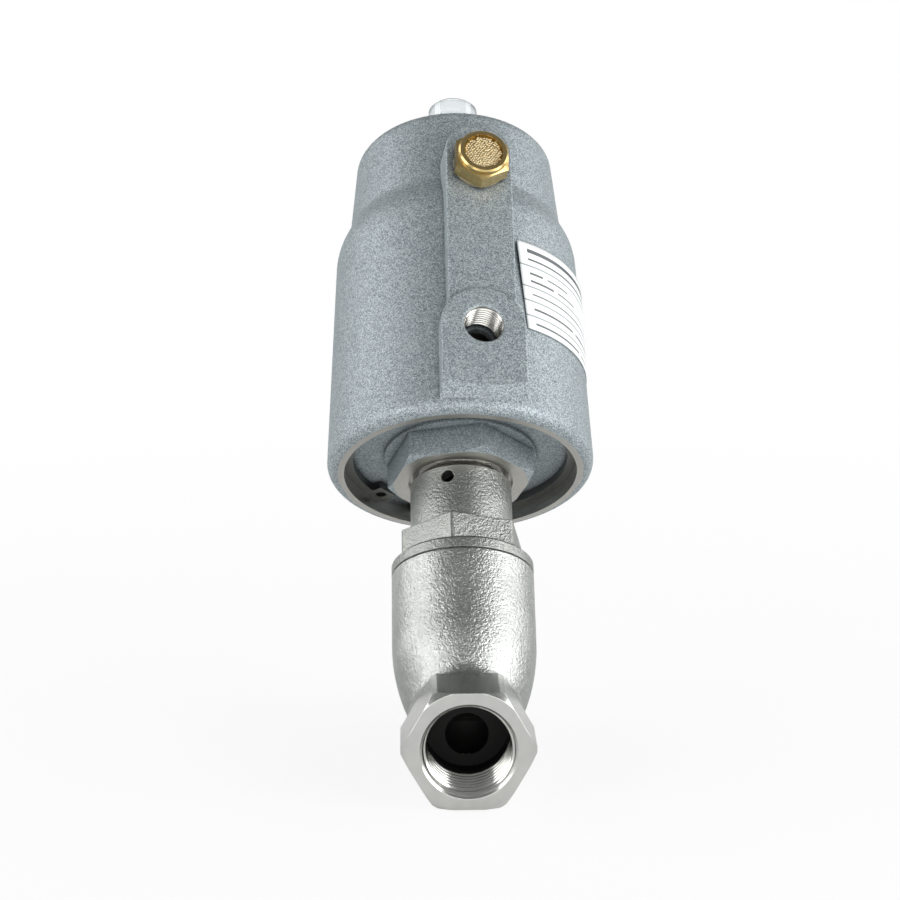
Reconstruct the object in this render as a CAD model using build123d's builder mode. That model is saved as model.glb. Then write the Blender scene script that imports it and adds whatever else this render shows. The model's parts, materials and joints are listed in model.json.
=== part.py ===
from build123d import *
import os
from math import cos, radians, sin, tan

# Angle seat valve, DN15, G1/2 threaded ends, with a single-acting piston actuator.
# The pipe runs along Y. The inlet thread starts at the origin and its mouth faces -Y.
# The stem rises from the pipe and leans towards the outlet, at stem_angle from the pipe.
# Heights along the stem are measured from the point where its axis crosses the pipe axis.

# ---- Pipe ends ------------------------------------------------------------------
face_to_face = 66.0
pipe_hex_flats = 27.0
pipe_hex_corner_trim = 0.39
pipe_hex_length = 15.0
pipe_hex_chamfer = 1.3
pipe_step = 0.2
pipe_thread_d = 20.96
pipe_thread_length = 13.5
pipe_mouth_d = 22.0
pipe_relief_d = 19.4
pipe_relief_edge = 0.5

# ---- Body ------------------------------------------------------------------------
stem_angle = 50.0
branch_from_inlet = 27.1
barrel_d = 34.2
barrel_top = 35.0
barrel_taper_start = 17.0
barrel_bottom = -2.0
barrel_foot_in = 0.5
barrel_edge = 0.5
junction_radius = 3.0
seat_height = 4.0
seat_bore_d = 15.0
seat_bowl_d = 18.0
seat_bowl_height = -2.5
chamber_d = 25.0
inlet_way_end = 18.0
outlet_way_start = 38.0
gasket_d = 29.2
gasket_thickness = 1.2

# ---- Bonnet ----------------------------------------------------------------------
spigot_length = 7.0
thread_gap = 0.05
flange_thickness = 3.0
flange_edge = 0.7
bonnet_hex_flats = 27.0
bonnet_hex_corner_d = 30.8
bonnet_hex_height = 7.0
bonnet_hex_turn = -10.0
neck_d = 24.8
neck_length = 14.4
neck_edge = 0.4
neck_relief_d = 21.4
neck_relief_length = 2.0
neck_thread_d = 23.2
neck_thread_length = 11.0
packing_bore_d = 17.0
packing_bore_length = 24.0
packing_lip = 2.0
leak_chamber_d = 18.0
weep_hole_d = 3.2
weep_hole_below_neck_top = 3.2
weep_hole_turn = -16.3

# ---- Stem and disc ---------------------------------------------------------------
stem_d = 10.0
stem_clearance = 0.04
stem_hole_gap = 0.3
stem_travel = 11.0
disc_d = 20.0
disc_seal_d = 19.0
disc_seal_thickness = 2.4
disc_rim_depth = 1.6
disc_height = 5.4
disc_edge_height = 1.5
disc_edge_width = 3.0
disc_stud_d = 6.0
disc_nut_flats = 10.0
disc_nut_height = 4.0

# ---- Packing ---------------------------------------------------------------------
packing_side_gap = 0.1
packing_spring_wire = 1.3
packing_spring_length = 6.0
packing_spring_turns = 3.0
packing_washer_thickness = 1.2
packing_ring_height = 2.0
packing_ring_count = 4
packing_ring_vee = 0.9
packing_ring_gap = 0.1
gland_height = 6.4
gland_slot_width = 2.4
gland_slot_depth = 1.8

# ---- Actuator cover --------------------------------------------------------------
cover_above_neck = 0.9
cover_boss_height = 8.1
cover_boss_flats = 32.0
cover_boss_turn = -13.0
cover_boss_face_d = 33.0
cover_boss_chamfer = 1.3
cover_boss_mouth_d = 25.6
cover_boss_mouth_depth = 1.2
cover_collar_d = 37.6
cover_collar_height = 0.9
cover_thickness = 10.6
cover_gap = 0.12
cover_groove_width = 3.3
cover_groove_from_face = 4.0
cover_groove_depth = 2.4
cover_ring_d = 2.4
cover_ring_gap = 0.02
neck_end_gap = 0.3
stem_ring_d = 1.9
stem_ring_groove = 2.2
ring_slack = 0.1
guide_bush_d = 13.2
guide_bush_length = 2.6

# ---- Casing ----------------------------------------------------------------------
cylinder_d = 50.0
cover_step = 3.7
rim_depth = 5.6
rim_wall = 2.65
rim_round = 3.0
casing_draft = 2.0
casing_height = 62.1
shoulder_height = 7.5
shoulder_round = 16.0
shoulder_hollow = 6.0
upper_wall = 5.95
upper_draft = 5.0
upper_height = 23.4
upper_round = 4.0
cylinder_spare = 9.0
spring_room_step = 3.5
spring_room_taper = 6.0
top_wall = 4.8
top_boss_d = 17.0
top_boss_height = 2.2
circlip_width = 2.0
circlip_groove_depth = 1.5
circlip_width_in = 2.2
circlip_lug_turn = -131.0
circlip_gap_angle = 30.0
circlip_lug_in = 4.7
circlip_lug_width = 5.8
circlip_lug_hole_d = 2.6
circlip_lug_end = 1.0
circlip_hole_shift = 0.6

# ---- Ports of the casing -----------------------------------------------------------
port_turn = 9.0
port_thread_d = 9.73
port_mouth_d = 10.5
port_way_d = 7.0
port_thread_length = 8.0
air_port_above_cover = 6.0
air_boss_width = 20.6
air_boss_proud = 2.45
vent_port_below_shoulder = 1.1
strip_width = 16.6
strip_proud = 1.55
strip_above_vent = 4.7
boss_edge = 0.5

# ---- Piston and spring -------------------------------------------------------------
piston_above_cover = 3.0
piston_gap = 0.15
piston_foot_in = 3.0
piston_foot_height = 6.5
piston_height = 19.0
piston_web = 10.0
piston_wall = 4.5
piston_hub_d = 18.0
piston_hub_height = 14.0
piston_land = 2.5
lip_seal_width = 3.5
lip_seal_depth = 2.9
lip_seal_height = 9.0
lip_thickness = 0.8
lip_back = 1.6
lip_lean = 0.3
guide_ring_width = 2.5
guide_ring_depth = 1.3
guide_ring_height = 15.0
piston_stud_d = 8.0
piston_washer_d = 16.0
piston_washer_thickness = 1.5
piston_nut_flats = 13.0
piston_nut_height = 6.5
piston_ring_d = 1.5
stem_above_nut = 2.0
spring_mean_d = 31.0
spring_wire = 3.2
spring_turns = 7.5

# ---- Position indicator ------------------------------------------------------------
rod_d = 5.5
rod_collar_d = 8.0
rod_collar_height = 2.0
rod_stud_d = 4.3
rod_stud_length = 7.0
rod_stud_room = 0.5
rod_below_boss = 0.5
rod_edge = 0.5
cap_d = 13.0
cap_height = 15.8
cap_bore_d = 6.2
cap_roof = 3.4
cap_thread_d = 10.0
cap_thread_length = 5.4
cap_edge = 0.6
cap_ring_d = 1.4

# ---- Silencer in the vent port -----------------------------------------------------
silencer_washer_thickness = 1.1
silencer_washer_d = 13.0
silencer_flats = 13.0
silencer_hex_height = 4.0
silencer_hex_chamfer = 0.8
silencer_collar_d = 12.4
silencer_collar_height = 1.4
silencer_collar_edge = 0.4
silencer_shank_length = 7.5
silencer_disc_d = 9.6
silencer_disc_thickness = 2.6
silencer_disc_sunk = 0.4
silencer_way_d = 6.0

# ---- Label -------------------------------------------------------------------------
label_above_rim = 25.0
label_height = 25.2
label_start_turn = 30.0
label_wrap_angle = 92.0
label_thickness = 0.15

# ---- Axes and planes ---------------------------------------------------------------
mouth_chamfer = (pipe_mouth_d - pipe_thread_d) / 2
inlet_face = -mouth_chamfer
outlet_face = inlet_face + face_to_face
crossing = Vector(0, inlet_face + branch_from_inlet, 0)
stem_dir = Vector(0, cos(radians(stem_angle)), sin(radians(stem_angle)))
front_dir = Vector(0, -sin(radians(stem_angle)), cos(radians(stem_angle)))
side_dir = Vector(1, 0, 0)
stem_axis = Axis(crossing, stem_dir)


def across(turn):
    """Direction square to the stem; turn is 0 on the inlet side and 90 at +X."""
    return side_dir * sin(radians(turn)) + front_dir * cos(radians(turn))


def stem_plane(height, turn=0.0):
    """Plane square to the stem; its X axis points at turn + 90 degrees."""
    return Plane(crossing + stem_dir * height, x_dir=across(turn + 90), z_dir=stem_dir)


def stem_half_plane(turn=90.0):
    """Plane through the stem axis: X is the distance from it, Y the height along it."""
    return Plane(crossing, x_dir=across(turn), z_dir=across(turn).cross(stem_dir))


def port_plane(height, reach):
    """Plane square to a port of the casing, at a distance of reach from the stem axis."""
    out = across(port_turn)
    return Plane(crossing + stem_dir * height + out * reach, x_dir=across(port_turn + 90), z_dir=out)


def port_half_plane(height):
    """Plane through a port's axis: X is the distance from it, Y the reach from the stem."""
    return Plane(crossing + stem_dir * height, x_dir=stem_dir, z_dir=stem_dir.cross(across(port_turn)))


def port_axis(height):
    """Axis of a port of the casing, pointing out."""
    return Axis(crossing + stem_dir * height, across(port_turn))


def profile(plane, points):
    """Face with straight sides, drawn on a half plane as (distance from axis, position)."""
    with BuildSketch(plane) as drawn:
        with BuildLine():
            Polyline(*points, close=True)
        make_face()
    return drawn.sketch


def stem_profile(*points):
    """Half section of a piece that is turned about the stem axis."""
    return profile(stem_half_plane(), points)


def ring_profile(plane, centre_r, centre_y, wire_d):
    """Round section of an O-ring."""
    with BuildSketch(plane) as drawn:
        with Locations((centre_r, centre_y)):
            Circle(wire_d / 2)
    return drawn.sketch


def tube_profile(inner_d, outer_d, bottom, top):
    """Half section of a plain ring about the stem axis."""
    return stem_profile((inner_d / 2, bottom), (outer_d / 2, bottom), (outer_d / 2, top), (inner_d / 2, top))


def casing_r(height):
    """Outer radius of the casing's lower cylinder, which narrows upwards by its draft."""
    return casing_d / 2 - (height - rim_bottom - rim_round) * tan(radians(casing_draft))


def upper_r(height):
    """Outer radius of the casing's upper part."""
    return upper_d / 2 - (height - shoulder_top) * tan(radians(upper_draft))


def save(piece, label):
    """Name a finished piece and write it."""
    piece.label = label
    export_step(piece, f"parts/{label}.step")
    print(f"{label:20s} {piece.volume / 1000:8.2f} cm3")


os.makedirs("parts", exist_ok=True)

# ---- Diameters and reaches that follow from the sizes above --------------------------
pipe_outer_d = pipe_hex_flats - 2 * pipe_step
pipe_hex_corner_d = 2 * pipe_hex_flats / 3**0.5 - 2 * pipe_hex_corner_trim
pipe_hex_face_d = pipe_hex_corner_d - 2 * pipe_hex_chamfer
barrel_bottom_d = pipe_outer_d - 2 * barrel_foot_in
rim_inner_d = cylinder_d + 2 * cover_step
circlip_groove_d = rim_inner_d + 2 * circlip_groove_depth
circlip_inner_d = rim_inner_d - 2 * circlip_width_in
circlip_lug_reach = rim_inner_d / 2 - circlip_lug_in
casing_d = circlip_groove_d + 2 * rim_wall
air_boss_reach = casing_d / 2 + air_boss_proud
strip_reach = casing_d / 2 + strip_proud
spring_room_d = cylinder_d - 2 * spring_room_step
upper_d = spring_room_d + 2 * upper_wall
piston_foot_d = cylinder_d - 2 * piston_foot_in
piston_pocket_d = cylinder_d - 2 * piston_wall

# ---- Heights that follow from the sizes above ----------------------------------------
flange_bottom = barrel_top
bonnet_hex_bottom = flange_bottom + flange_thickness
neck_bottom = bonnet_hex_bottom + bonnet_hex_height
neck_top = neck_bottom + neck_length
neck_thread_top = neck_top + neck_relief_length + neck_thread_length
spigot_bottom = barrel_top - spigot_length
packing_floor = spigot_bottom + packing_lip
packing_bore_top = packing_floor + packing_bore_length
packing_washer_bottom = packing_floor + packing_spring_length
packing_rings_bottom = packing_washer_bottom + packing_washer_thickness
gland_bottom = packing_rings_bottom + packing_ring_count * packing_ring_height + packing_ring_vee
gland_top = gland_bottom + gland_height
weep_hole_height = neck_top - weep_hole_below_neck_top
cover_boss_bottom = neck_top + cover_above_neck
cover_face = cover_boss_bottom + cover_boss_height
rim_bottom = cover_face - rim_depth
cover_top = cover_face + cover_thickness
cover_groove_bottom = cover_face + cover_groove_from_face
circlip_bottom = cover_face - circlip_width
disc_bottom = seat_height + disc_seal_thickness - disc_rim_depth
disc_top = disc_bottom + disc_height
piston_bottom = cover_top + piston_above_cover
piston_top = piston_bottom + piston_height
piston_washer_bottom = piston_bottom + piston_hub_height
piston_nut_bottom = piston_washer_bottom + piston_washer_thickness
stem_top = piston_nut_bottom + piston_nut_height + stem_above_nut
spring_bottom = piston_bottom + piston_web
cylinder_top = piston_top + stem_travel + cylinder_spare
shoulder_bottom = rim_bottom + casing_height
shoulder_top = shoulder_bottom + shoulder_height
upper_top = shoulder_top + upper_height
spring_room_bottom = cylinder_top + spring_room_taper
spring_room_top = upper_top - top_wall
top_boss_top = upper_top + top_boss_height
air_port_height = cover_top + air_port_above_cover
vent_port_height = shoulder_top - vent_port_below_shoulder
strip_end_height = vent_port_height + strip_above_vent
rod_tip = top_boss_top - rod_below_boss
cap_top = top_boss_top + cap_height
label_bottom = rim_bottom + label_above_rim
label_top = label_bottom + label_height
silencer_bottom = strip_reach + silencer_washer_thickness
silencer_hex_top = silencer_bottom + silencer_hex_height
silencer_top = silencer_hex_top + silencer_collar_height

# ---- Valve body ------------------------------------------------------------------------
# One casting: a hexagon at each pipe end, a round pipe between them, and the barrel that
# leans over the outlet. The passage rises through the inclined seat into the barrel.
thread_r = pipe_thread_d / 2
relief_r = pipe_relief_d / 2


def pipe_way(end):
    """Half section of one pipe end's thread and the way behind it; end is how deep it goes."""
    depth = mouth_chamfer + pipe_thread_length
    return [
        (0, 0),
        (pipe_mouth_d / 2, 0),
        (thread_r, mouth_chamfer),
        (thread_r, depth),
        (relief_r + pipe_relief_edge, depth),
        (relief_r, depth + pipe_relief_edge),
        (relief_r, end),
        (0, end),
    ]


inlet_half_plane = Plane((0, inlet_face, 0), x_dir=(1, 0, 0), z_dir=(0, 0, 1))
outlet_half_plane = Plane((0, outlet_face, 0), x_dir=(1, 0, 0), z_dir=(0, 0, -1))


def pipe_hex(half_plane, axis):
    """One pipe end's hexagon, chamfered at its face, on the half plane that starts there."""
    with BuildPart() as hexagon:
        with BuildSketch(Plane(half_plane.origin, x_dir=(1, 0, 0), z_dir=half_plane.y_dir)):
            RegularPolygon(pipe_hex_flats / 2, 6, major_radius=False, rotation=0)
        extrude(amount=pipe_hex_length)
        outline = [
            (0, 0),
            (pipe_hex_face_d / 2, 0),
            (pipe_hex_corner_d / 2, pipe_hex_chamfer),
            (pipe_hex_corner_d / 2, pipe_hex_length),
            (0, pipe_hex_length),
        ]
        revolve(profile(half_plane, outline), axis=axis, mode=Mode.INTERSECT)
    return hexagon.part


inlet_axis = Axis((0, inlet_face, 0), (0, 1, 0))
outlet_axis = Axis((0, outlet_face, 0), (0, -1, 0))
taper_rise = barrel_taper_start - barrel_bottom
taper_narrowing = (barrel_d - barrel_bottom_d) / 2
taper_arc_r = (taper_rise**2 + taper_narrowing**2) / (2 * taper_narrowing)

outlet_hex_back = outlet_face - pipe_hex_length
pipe_outline = [(0, 0), (pipe_outer_d / 2, 0), (pipe_outer_d / 2, face_to_face), (0, face_to_face)]

with BuildPart() as valve_body:
    revolve(profile(inlet_half_plane, pipe_outline), axis=inlet_axis)
    with BuildSketch(stem_half_plane()):
        with BuildLine():
            Line((0, barrel_bottom), (barrel_bottom_d / 2, barrel_bottom))
            RadiusArc((barrel_bottom_d / 2, barrel_bottom), (barrel_d / 2, barrel_taper_start), -taper_arc_r)
            Polyline(
                (barrel_d / 2, barrel_taper_start),
                (barrel_d / 2, barrel_top - barrel_edge),
                (barrel_d / 2 - barrel_edge, barrel_top),
                (0, barrel_top),
                (0, barrel_bottom),
            )
        make_face()
    revolve(axis=stem_axis)
    # The pipe and the barrel run into each other with a cast hollow; the hexagons stand over it.
    curved = [edge for edge in valve_body.edges() if edge.geom_type not in (GeomType.LINE, GeomType.CIRCLE)]
    fillet([edge for edge in curved if edge.center().Y < outlet_hex_back], radius=junction_radius)
    add(pipe_hex(inlet_half_plane, inlet_axis))
    add(pipe_hex(outlet_half_plane, outlet_axis))
    # The way in, the bowl below the seat, the seat's bore and the chamber above it.
    revolve(profile(inlet_half_plane, pipe_way(inlet_way_end)), axis=inlet_axis, mode=Mode.SUBTRACT)
    outlet_depth = face_to_face - outlet_way_start
    revolve(profile(outlet_half_plane, pipe_way(outlet_depth)), axis=outlet_axis, mode=Mode.SUBTRACT)
    with Locations(crossing + stem_dir * seat_bowl_height):
        Sphere(seat_bowl_d / 2, mode=Mode.SUBTRACT)
    revolve(
        stem_profile(
            (0, 0),
            (seat_bore_d / 2, 0),
            (seat_bore_d / 2, seat_height),
            (chamber_d / 2, seat_height),
            (chamber_d / 2, barrel_top - gasket_thickness),
            (gasket_d / 2, barrel_top - gasket_thickness),
            (gasket_d / 2, barrel_top),
            (0, barrel_top),
        ),
        axis=stem_axis,
        mode=Mode.SUBTRACT,
    )
save(valve_body.part, "valve_body")

with BuildPart() as body_gasket:
    revolve(tube_profile(chamber_d, gasket_d, barrel_top - gasket_thickness, barrel_top), axis=stem_axis)
save(body_gasket.part, "body_gasket")

# ---- Bonnet ----------------------------------------------------------------------------
# Screwed into the barrel by its hexagon. It holds the packing and carries the actuator on
# its neck. The weep hole shows a leak past the packing.
with BuildPart() as bonnet:
    with BuildSketch(stem_plane(bonnet_hex_bottom, bonnet_hex_turn)):
        RegularPolygon(bonnet_hex_flats / 2, 6, major_radius=False, rotation=30)
    extrude(amount=bonnet_hex_height)
    clip_ring = tube_profile(0, bonnet_hex_corner_d, bonnet_hex_bottom, neck_bottom)
    revolve(clip_ring, axis=stem_axis, mode=Mode.INTERSECT)
    revolve(
        stem_profile(
            (0, spigot_bottom),
            (chamber_d / 2 - thread_gap, spigot_bottom),
            (chamber_d / 2 - thread_gap, barrel_top),
            (barrel_d / 2, barrel_top),
            (barrel_d / 2, bonnet_hex_bottom - flange_edge),
            (barrel_d / 2 - flange_edge, bonnet_hex_bottom),
            (neck_d / 2, bonnet_hex_bottom),
            (neck_d / 2, neck_top - neck_edge),
            (neck_d / 2 - neck_edge, neck_top),
            (neck_relief_d / 2, neck_top),
            (neck_relief_d / 2, neck_top + neck_relief_length),
            (neck_thread_d / 2, neck_top + neck_relief_length),
            (neck_thread_d / 2, neck_thread_top),
            (0, neck_thread_top),
        ),
        axis=stem_axis,
    )
    revolve(
        stem_profile(
            (0, spigot_bottom),
            (stem_d / 2 + stem_hole_gap, spigot_bottom),
            (stem_d / 2 + stem_hole_gap, packing_floor),
            (packing_bore_d / 2, packing_floor),
            (packing_bore_d / 2, packing_bore_top),
            (leak_chamber_d / 2, packing_bore_top),
            (leak_chamber_d / 2, neck_thread_top),
            (0, neck_thread_top),
        ),
        axis=stem_axis,
        mode=Mode.SUBTRACT,
    )
    weep_out = across(weep_hole_turn)
    with BuildSketch(Plane(crossing + stem_dir * weep_hole_height, z_dir=weep_out)):
        Circle(weep_hole_d / 2)
    extrude(amount=neck_d, mode=Mode.SUBTRACT)
save(bonnet.part, "bonnet")

# ---- Packing ---------------------------------------------------------------------------
# A spring below keeps the stack of vee rings tight around the stem; the gland closes it.
packing_inner_d = stem_d + 2 * stem_clearance
packing_outer_d = packing_bore_d - 2 * packing_side_gap
packing_spring_mean_d = (packing_bore_d + stem_d) / 2


def coil_spring(bottom, length, mean_d, wire, turns):
    """Helical spring that fills a height of length; its wire starts at +X."""
    rise = length - wire
    path = Helix(rise / turns, rise, mean_d / 2, center=(0, 0, 0), direction=(0, 0, 1))
    with BuildPart() as spring:
        with BuildSketch(Plane(path @ 0, x_dir=(1, 0, 0), z_dir=path % 0)):
            Circle(wire / 2)
        sweep(path=path, is_frenet=True)
    return stem_plane(bottom + wire / 2).location * spring.part


packing_spring = coil_spring(
    packing_floor, packing_spring_length, packing_spring_mean_d, packing_spring_wire, packing_spring_turns
)
save(packing_spring, "packing_spring")

with BuildPart() as packing_washer:
    revolve(
        tube_profile(packing_inner_d, packing_outer_d, packing_washer_bottom, packing_rings_bottom),
        axis=stem_axis,
    )
save(packing_washer.part, "packing_washer")

with BuildPart() as packing_rings:
    for ring in range(packing_ring_count):
        low = packing_rings_bottom + ring * packing_ring_height
        inner_r = packing_inner_d / 2
        outer_r = packing_outer_d / 2
        middle_r = (inner_r + outer_r) / 2
        bottom_vee = 0 if ring == 0 else packing_ring_vee
        revolve(
            stem_profile(
                (inner_r, low),
                (middle_r, low + bottom_vee),
                (outer_r, low),
                (outer_r, low + packing_ring_height - packing_ring_gap),
                (middle_r, low + packing_ring_height + packing_ring_vee - packing_ring_gap),
                (inner_r, low + packing_ring_height - packing_ring_gap),
            ),
            axis=stem_axis,
            mode=Mode.ADD,
        )
save(packing_rings.part, "packing_rings")

with BuildPart() as gland_nut:
    gland_outline = tube_profile(packing_inner_d + stem_hole_gap, packing_outer_d, gland_bottom, gland_top)
    revolve(gland_outline, axis=stem_axis)
    with BuildSketch(stem_plane(gland_top)):
        Rectangle(packing_bore_d, gland_slot_width)
    extrude(amount=-gland_slot_depth, mode=Mode.SUBTRACT)
save(gland_nut.part, "gland_nut")

# ---- Stem, disc and seat seal ------------------------------------------------------------
with BuildPart() as stem:
    revolve(
        stem_profile(
            (0, seat_height - disc_nut_height),
            (disc_stud_d / 2, seat_height - disc_nut_height),
            (disc_stud_d / 2, disc_top),
            (stem_d / 2, disc_top),
            (stem_d / 2, piston_bottom),
            (piston_stud_d / 2, piston_bottom),
            (piston_stud_d / 2, stem_top),
            (0, stem_top),
        ),
        axis=stem_axis,
    )
    with BuildSketch(stem_plane(stem_top)):
        Circle(rod_stud_d / 2 + thread_gap)
    extrude(amount=-rod_stud_length - rod_stud_room, mode=Mode.SUBTRACT)
save(stem.part, "stem")

with BuildPart() as disc:
    revolve(
        stem_profile(
            (disc_stud_d / 2, seat_height + disc_seal_thickness),
            (disc_seal_d / 2, seat_height + disc_seal_thickness),
            (disc_seal_d / 2, disc_bottom),
            (disc_d / 2, disc_bottom),
            (disc_d / 2, disc_top - disc_edge_height),
            (disc_d / 2 - disc_edge_width, disc_top),
            (disc_stud_d / 2, disc_top),
        ),
        axis=stem_axis,
    )
save(disc.part, "disc")

with BuildPart() as disc_seal:
    seal_outline = tube_profile(disc_stud_d, disc_seal_d, seat_height, seat_height + disc_seal_thickness)
    revolve(seal_outline, axis=stem_axis)
save(disc_seal.part, "disc_seal")

with BuildPart() as disc_nut:
    with BuildSketch(stem_plane(seat_height - disc_nut_height)):
        RegularPolygon(disc_nut_flats / 2, 6, major_radius=False)
        Circle(disc_stud_d / 2, mode=Mode.SUBTRACT)
    extrude(amount=disc_nut_height)
save(disc_nut.part, "disc_nut")

# ---- Actuator cover ------------------------------------------------------------------------
# The floor of the air cylinder, screwed to the bonnet by its own hexagon.
cover_r = rim_inner_d / 2 - cover_gap
groove_r = cover_r - cover_groove_depth
bush_bottom = cover_top - guide_bush_length
ring_groove_bottom = bush_bottom - stem_ring_groove
neck_room_top = neck_thread_top + neck_end_gap

with BuildPart() as cover:
    with BuildSketch(stem_plane(cover_boss_bottom, cover_boss_turn)):
        RegularPolygon(cover_boss_flats / 2, 6, major_radius=False, rotation=0)
    extrude(amount=cover_face - cover_boss_bottom)
    revolve(
        stem_profile(
            (0, cover_boss_bottom),
            (cover_boss_face_d / 2, cover_boss_bottom),
            (cover_collar_d / 2, cover_boss_bottom + cover_boss_chamfer),
            (cover_collar_d / 2, cover_face),
            (0, cover_face),
        ),
        axis=stem_axis,
        mode=Mode.INTERSECT,
    )
    revolve(
        stem_profile(
            (0, cover_face - cover_collar_height),
            (cover_collar_d / 2, cover_face - cover_collar_height),
            (cover_collar_d / 2, cover_face),
            (cover_r, cover_face),
            (cover_r, cover_groove_bottom),
            (groove_r, cover_groove_bottom),
            (groove_r, cover_groove_bottom + cover_groove_width),
            (cover_r, cover_groove_bottom + cover_groove_width),
            (cover_r, cover_top),
            (0, cover_top),
        ),
        axis=stem_axis,
    )
    revolve(
        stem_profile(
            (0, cover_boss_bottom),
            (cover_boss_mouth_d / 2, cover_boss_bottom),
            (cover_boss_mouth_d / 2, cover_boss_bottom + cover_boss_mouth_depth),
            (neck_thread_d / 2 + thread_gap, cover_boss_bottom + cover_boss_mouth_depth),
            (neck_thread_d / 2 + thread_gap, neck_room_top),
            (stem_d / 2 + stem_hole_gap, neck_room_top),
            (stem_d / 2 + stem_hole_gap, ring_groove_bottom),
            (stem_d / 2 + stem_ring_d, ring_groove_bottom),
            (stem_d / 2 + stem_ring_d, bush_bottom),
            (guide_bush_d / 2, bush_bottom),
            (guide_bush_d / 2, cover_top),
            (0, cover_top),
        ),
        axis=stem_axis,
        mode=Mode.SUBTRACT,
    )
save(cover.part, "cover")

with BuildPart() as stem_o_ring:
    ring_r = stem_d / 2 + stem_clearance + stem_ring_d / 2
    ring_height = ring_groove_bottom + stem_ring_groove / 2
    ring_face = ring_profile(stem_half_plane(), ring_r, ring_height, stem_ring_d - ring_slack)
    revolve(ring_face, axis=stem_axis)
save(stem_o_ring.part, "stem_o_ring")

with BuildPart() as guide_bush:
    revolve(tube_profile(packing_inner_d, guide_bush_d, bush_bottom, cover_top), axis=stem_axis)
save(guide_bush.part, "guide_bush")

with BuildPart() as cover_o_ring:
    ring_face = ring_profile(
        stem_half_plane(),
        rim_inner_d / 2 - cover_ring_gap - cover_ring_d / 2,
        cover_groove_bottom + cover_groove_width / 2,
        cover_ring_d,
    )
    revolve(ring_face, axis=stem_axis)
save(cover_o_ring.part, "cover_o_ring")

# ---- Casing ----------------------------------------------------------------------------------
# One die casting: the air cylinder below the shoulder and the spring room above it, with the
# raised strip that carries both ports.
def port_profile(height, reach, inner):
    """Half section of a threaded port of the casing, from its mouth to the inside."""
    mouth_depth = (port_mouth_d - port_thread_d) / 2
    return profile(
        port_half_plane(height),
        [
            (0, reach),
            (port_mouth_d / 2, reach),
            (port_thread_d / 2, reach - mouth_depth),
            (port_thread_d / 2, reach - mouth_depth - port_thread_length),
            (port_way_d / 2, reach - mouth_depth - port_thread_length),
            (port_way_d / 2, inner),
            (0, inner),
        ],
    )


def port_boss(width, reach, end_height):
    """Flat-faced boss along the casing with a round end, trimmed at the rim by a cone."""
    root = spring_room_d / 2
    cone_r = casing_d / 2 - rim_round
    cone_height = strip_end_height + strip_width - rim_bottom
    with BuildPart() as boss:
        with BuildSketch(port_plane(0, root)):
            with Locations((0, (rim_bottom + end_height) / 2)):
                Rectangle(width, end_height - rim_bottom)
            with Locations((0, end_height)):
                Circle(width / 2)
        extrude(amount=reach - root)
        front = boss.faces().sort_by(port_axis(end_height))[-1]
        fillet(front.edges(), radius=boss_edge)
        revolve(
            stem_profile(
                (0, rim_bottom),
                (cone_r, rim_bottom),
                (cone_r + cone_height, rim_bottom + cone_height),
                (0, rim_bottom + cone_height),
            ),
            axis=stem_axis,
            mode=Mode.INTERSECT,
        )
    return boss.part


with BuildPart() as casing:
    with BuildSketch(stem_half_plane()):
        with BuildLine():
            FilletPolyline(
                (0, rim_bottom),
                (casing_r(rim_bottom), rim_bottom),
                (casing_r(shoulder_bottom), shoulder_bottom),
                (upper_r(shoulder_top), shoulder_top),
                (upper_r(upper_top), upper_top),
                (top_boss_d / 2, upper_top),
                radius=(rim_round, shoulder_round, shoulder_hollow, upper_round),
            )
            Polyline(
                (top_boss_d / 2, upper_top),
                (top_boss_d / 2, top_boss_top),
                (0, top_boss_top),
                (0, rim_bottom),
            )
        make_face()
    revolve(axis=stem_axis)
    # The strip that carries both ports, and the air boss at its foot.
    add(port_boss(strip_width, strip_reach, strip_end_height))
    add(port_boss(air_boss_width, air_boss_reach, air_port_height))
    # Bore of the air cylinder, seat and groove for the cover, and the spring room.
    revolve(
        stem_profile(
            (0, rim_bottom),
            (rim_inner_d / 2, rim_bottom),
            (rim_inner_d / 2, circlip_bottom),
            (circlip_groove_d / 2, circlip_bottom),
            (circlip_groove_d / 2, cover_face),
            (rim_inner_d / 2, cover_face),
            (rim_inner_d / 2, cover_top),
            (cylinder_d / 2, cover_top),
            (cylinder_d / 2, cylinder_top),
            (spring_room_d / 2, spring_room_bottom),
            (spring_room_d / 2, spring_room_top),
            (cap_thread_d / 2 + thread_gap, spring_room_top),
            (cap_thread_d / 2 + thread_gap, top_boss_top),
            (0, top_boss_top),
        ),
        axis=stem_axis,
        mode=Mode.SUBTRACT,
    )
    ring_seat = tube_profile(cap_thread_d, cap_d, top_boss_top - cap_ring_d, top_boss_top)
    revolve(ring_seat, axis=stem_axis, mode=Mode.SUBTRACT)
    air_port = port_profile(air_port_height, air_boss_reach, 0)
    revolve(air_port, axis=port_axis(air_port_height), mode=Mode.SUBTRACT)
    vent_port = port_profile(vent_port_height, strip_reach, 0)
    revolve(vent_port, axis=port_axis(vent_port_height), mode=Mode.SUBTRACT)
save(casing.part, "casing")

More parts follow.
